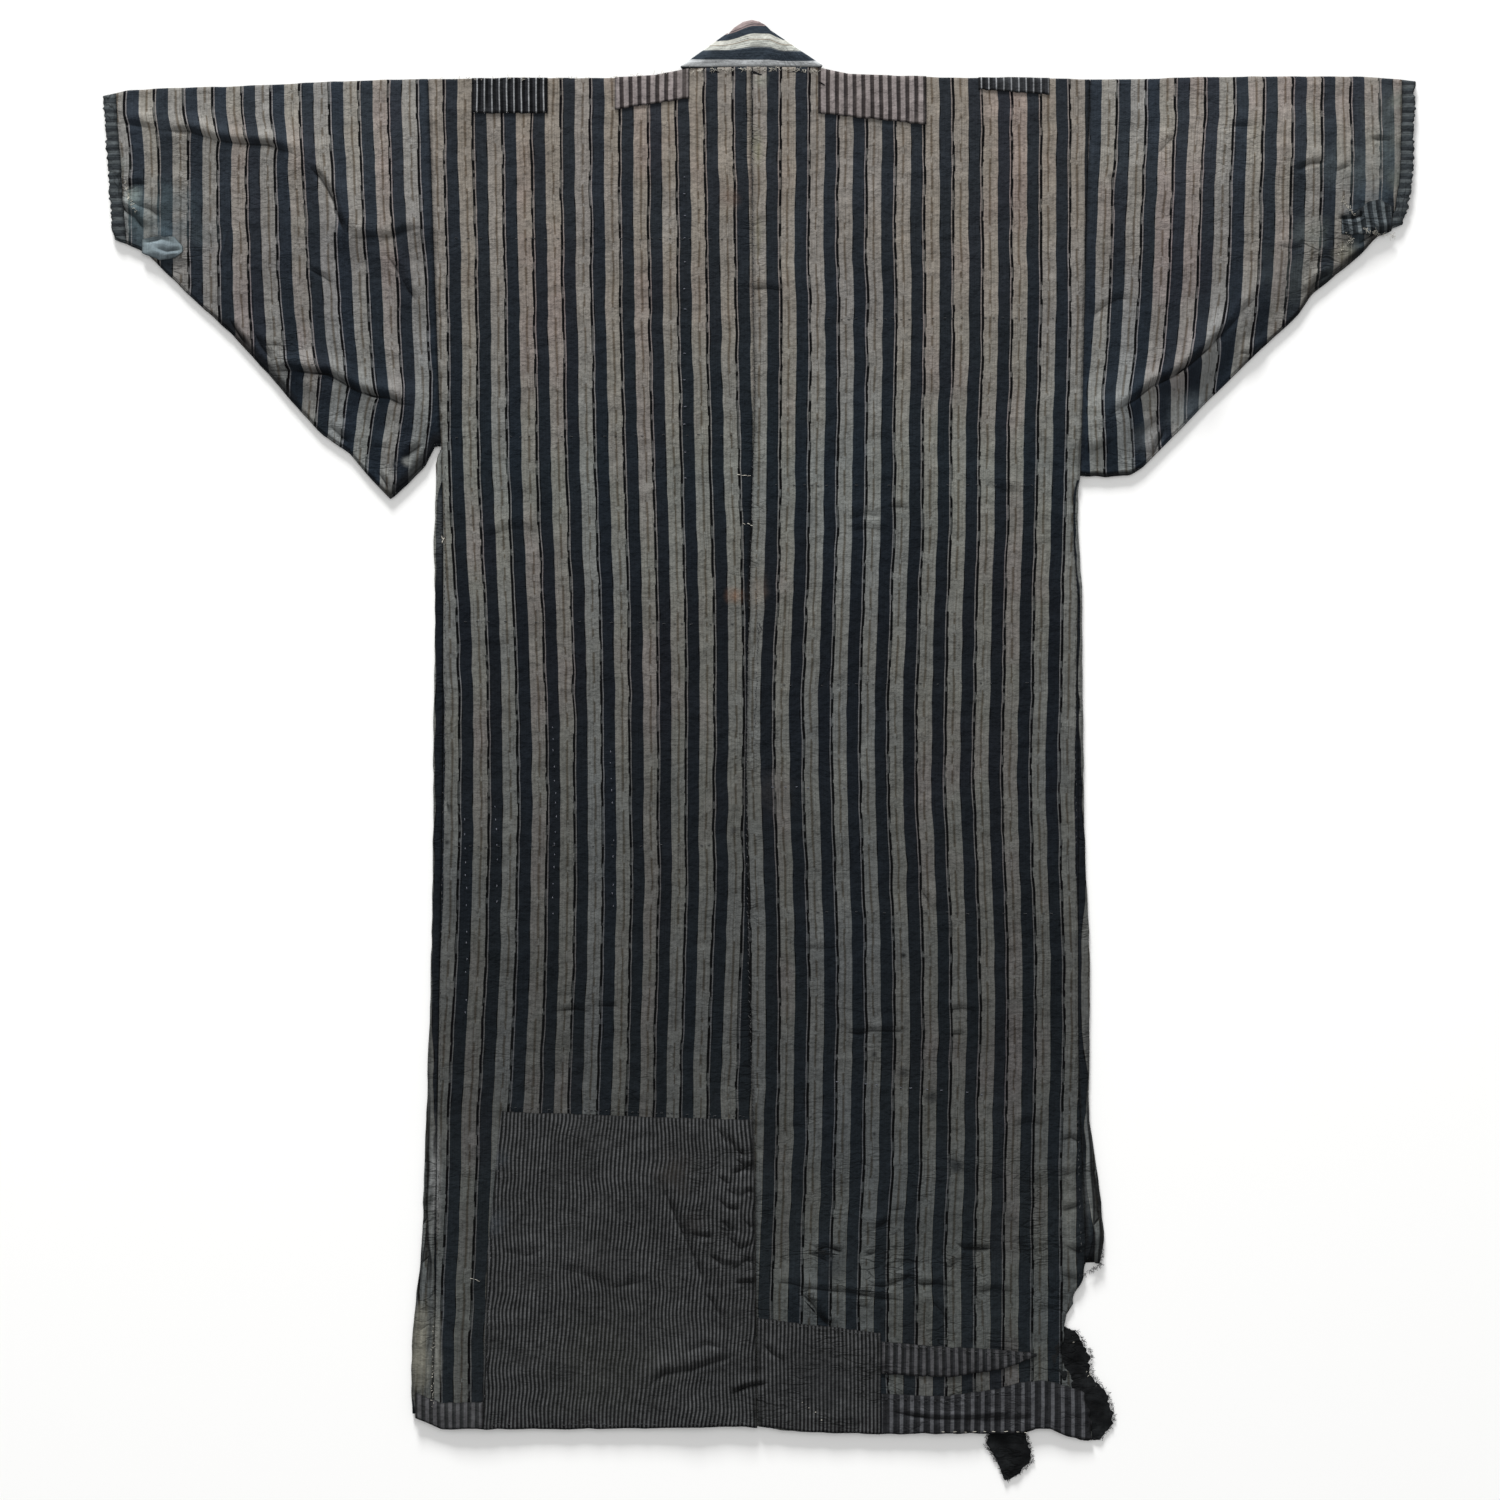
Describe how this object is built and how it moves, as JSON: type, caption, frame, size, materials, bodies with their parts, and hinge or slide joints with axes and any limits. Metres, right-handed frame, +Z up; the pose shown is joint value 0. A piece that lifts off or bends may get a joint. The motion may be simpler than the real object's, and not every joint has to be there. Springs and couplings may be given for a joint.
{
  "type": "patched coat",
  "caption": "Long striped cotton coat with wide short sleeves, folded collar, sewn-on patches and torn hem corner, laid flat on its front with the back up.",
  "frame": {"origin": "on the resting plane, under the middle of the bounding box", "axes": "+Y from the hem towards the collar, +X towards the wearer's right sleeve, +Z up out of the back of the coat, away from the surface it lies on"},
  "size_m": [1.2191, 1.3581, 0.0149],
  "materials": {
    "striped_cloth": "matte worn cotton, dark blue and grey-beige stripes",
    "cuff_cloth": "matte dark cotton with thin pale lines",
    "collar_cloth": "matte cotton, pale and dark blue bands",
    "dark_striped_patch": "matte near-black cotton with thin pale lines",
    "brown_striped_patch": "matte brown and pinkish striped cotton",
    "fine_striped_patch": "matte dark grey finely striped cotton",
    "coarse_striped_patch": "matte dark grey striped cotton",
    "blue_patch": "matte faded blue cotton",
    "black_cloth": "matte black cotton, ragged"
  },
  "bodies": {
    "root": {"body_left": "striped_cloth", "body_right": "striped_cloth", "overlap_left": "striped_cloth", "overlap_right": "striped_cloth", "sleeve_left": "striped_cloth", "sleeve_right": "striped_cloth", "cuff_left": "cuff_cloth", "cuff_right": "cuff_cloth", "collar": "collar_cloth", "patch_shoulder_dark_left": "dark_striped_patch", "patch_shoulder_dark_right": "dark_striped_patch", "patch_shoulder_brown_left": "brown_striped_patch", "patch_shoulder_brown_right": "brown_striped_patch", "patch_hem_large": "fine_striped_patch", "patch_hem_middle": "fine_striped_patch", "patch_hem_wedge": "coarse_striped_patch", "hem_band_right": "coarse_striped_patch", "hem_band_left": "coarse_striped_patch", "patch_cuff_right": "coarse_striped_patch", "patch_cuff_left": "blue_patch", "facing_torn": "black_cloth", "tatter": "black_cloth"}
  },
  "joints": []
}
